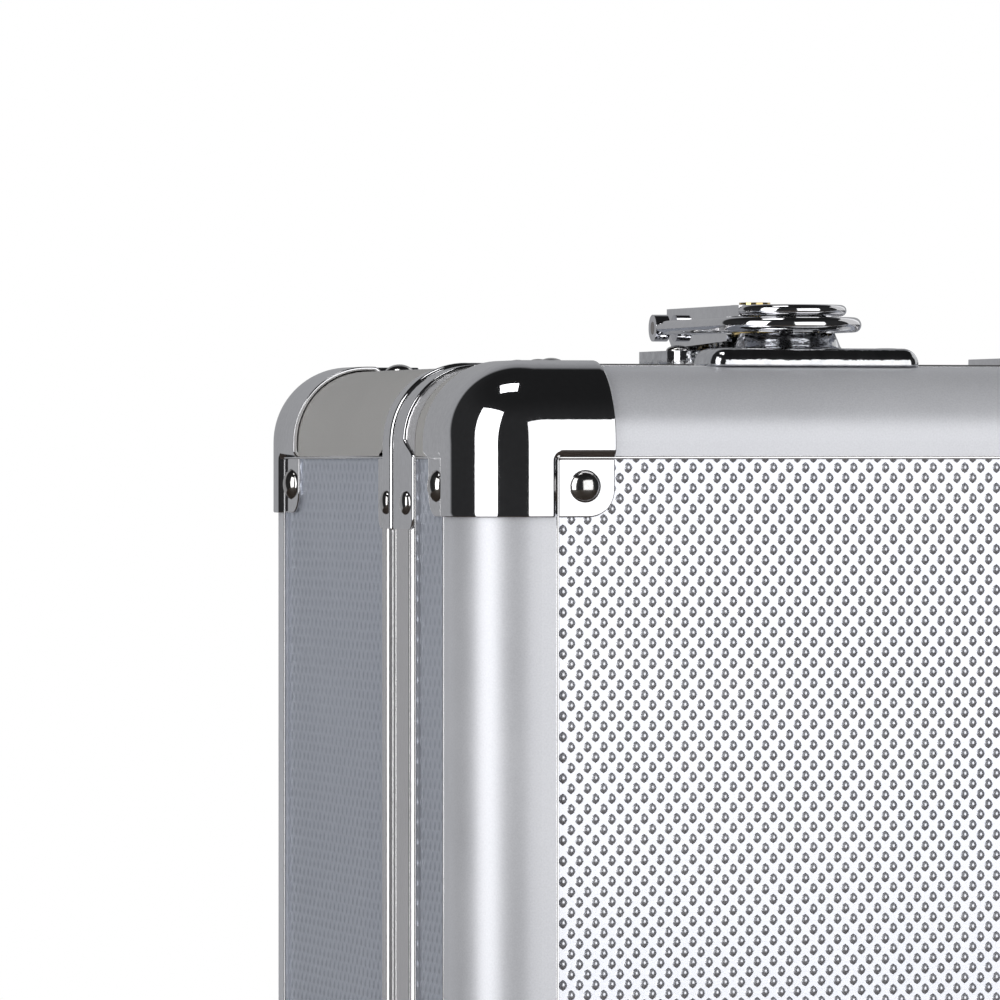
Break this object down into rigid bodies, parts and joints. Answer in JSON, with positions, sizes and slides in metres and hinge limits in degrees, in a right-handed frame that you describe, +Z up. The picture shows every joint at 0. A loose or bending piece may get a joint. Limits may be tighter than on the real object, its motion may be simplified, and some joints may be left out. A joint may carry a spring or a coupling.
{
  "type": "art supply box",
  "caption": "Upright carrying case for art supplies with embossed panels, rounded metal edges, ball corners, latches with key locks, a fold-down handle and a hinged lid.",
  "frame": {"origin": "on the ground under the middle of the case", "axes": "+X to the right along the case, -Y out of the lid's face, +Z up towards the handle"},
  "size_m": [0.4044, 0.1552, 0.322],
  "materials": {
    "skin_face": "embossed, bright",
    "skin_wall": "embossed, satin",
    "board": "raw fibreboard",
    "rail": "satin anodised",
    "rim": "satin anodised, fluted",
    "corner_chrome": "polished",
    "rivet": "polished",
    "lining": "ribbed foam",
    "foot": "moulded",
    "hinge_steel": "plated",
    "latch_chrome": "polished",
    "pin_steel": "turned",
    "lock_brass": "polished",
    "rod_chrome": "plated",
    "grip": "fine grain"
  },
  "bodies": {
    "base": {"base_back_panel": "board", "base_left_panel": "board", "base_right_panel": "board", "base_top_panel": "board", "base_bottom_panel": "board", "base_back_skin": "skin_face", "base_wall_skins": "skin_wall", "base_top_rail": "rail", "base_bottom_rail": "rail", "base_left_rail": "rail", "base_right_rail": "rail", "base_posts": "rail", "base_rim": "rim", "base_corner_caps": "corner_chrome", "base_rim_corners": "corner_chrome", "base_rivets": "rivet", "base_lining": "lining", "base_feet": "foot", "hinge_base_leaves": "hinge_steel", "hinge_pins": "hinge_steel", "handle_brackets": "latch_chrome", "left_latch_base": "latch_chrome", "right_latch_base": "latch_chrome", "left_latch_pin": "pin_steel", "right_latch_pin": "pin_steel"},
    "lid": {"lid_front_panel": "board", "lid_left_panel": "board", "lid_right_panel": "board", "lid_top_panel": "board", "lid_bottom_panel": "board", "lid_front_skin": "skin_face", "lid_wall_skins": "skin_wall", "lid_top_rail": "rail", "lid_bottom_rail": "rail", "lid_left_rail": "rail", "lid_right_rail": "rail", "lid_posts": "rail", "lid_rim": "rim", "lid_corner_caps": "corner_chrome", "lid_rim_corners": "corner_chrome", "lid_rivets": "rivet", "lid_lining": "lining", "lid_feet": "foot", "hinge_lid_leaves": "hinge_steel", "left_keeper": "latch_chrome", "right_keeper": "latch_chrome"},
    "handle": {"handle_rod": "rod_chrome", "handle_grip": "grip"},
    "left_bail": {"left_bail": "latch_chrome"},
    "left_lever": {"left_lever": "latch_chrome"},
    "left_lock": {"left_lock": "lock_brass"},
    "right_bail": {"right_bail": "latch_chrome"},
    "right_lever": {"right_lever": "latch_chrome"},
    "right_lock": {"right_lock": "lock_brass"}
  },
  "joints": [
    {"name": "lid_open", "type": "hinge", "parent": "base", "child": "lid", "pos_m": [0, -0.025, 0.0056], "axis": [1, 0, 0], "range_deg": [0, 108]},
    {"name": "handle_fold", "type": "hinge", "parent": "base", "child": "handle", "pos_m": [0, -0.01, 0.316], "axis": [1, 0, 0], "range_deg": [0, 100]},
    {"name": "left_bail_lift", "type": "hinge", "parent": "base", "child": "left_bail", "pos_m": [-0.129, -0.005, 0.317], "axis": [-1, 0, 0], "range_deg": [-2, 100]},
    {"name": "left_lever_lift", "type": "hinge", "parent": "left_bail", "child": "left_lever", "pos_m": [-0.129, -0.005, 0.317], "axis": [-1, 0, 0], "range_deg": [0, 80]},
    {"name": "left_lock_turn", "type": "hinge", "parent": "left_lever", "child": "left_lock", "pos_m": [-0.129, -0.026, 0.319], "axis": [0, 0, 1], "range_deg": [0, 90]},
    {"name": "right_bail_lift", "type": "hinge", "parent": "base", "child": "right_bail", "pos_m": [0.129, -0.005, 0.317], "axis": [-1, 0, 0], "range_deg": [-2, 100]},
    {"name": "right_lever_lift", "type": "hinge", "parent": "right_bail", "child": "right_lever", "pos_m": [0.129, -0.005, 0.317], "axis": [-1, 0, 0], "range_deg": [0, 80]},
    {"name": "right_lock_turn", "type": "hinge", "parent": "right_lever", "child": "right_lock", "pos_m": [0.129, -0.026, 0.319], "axis": [0, 0, 1], "range_deg": [0, 90]}
  ]
}
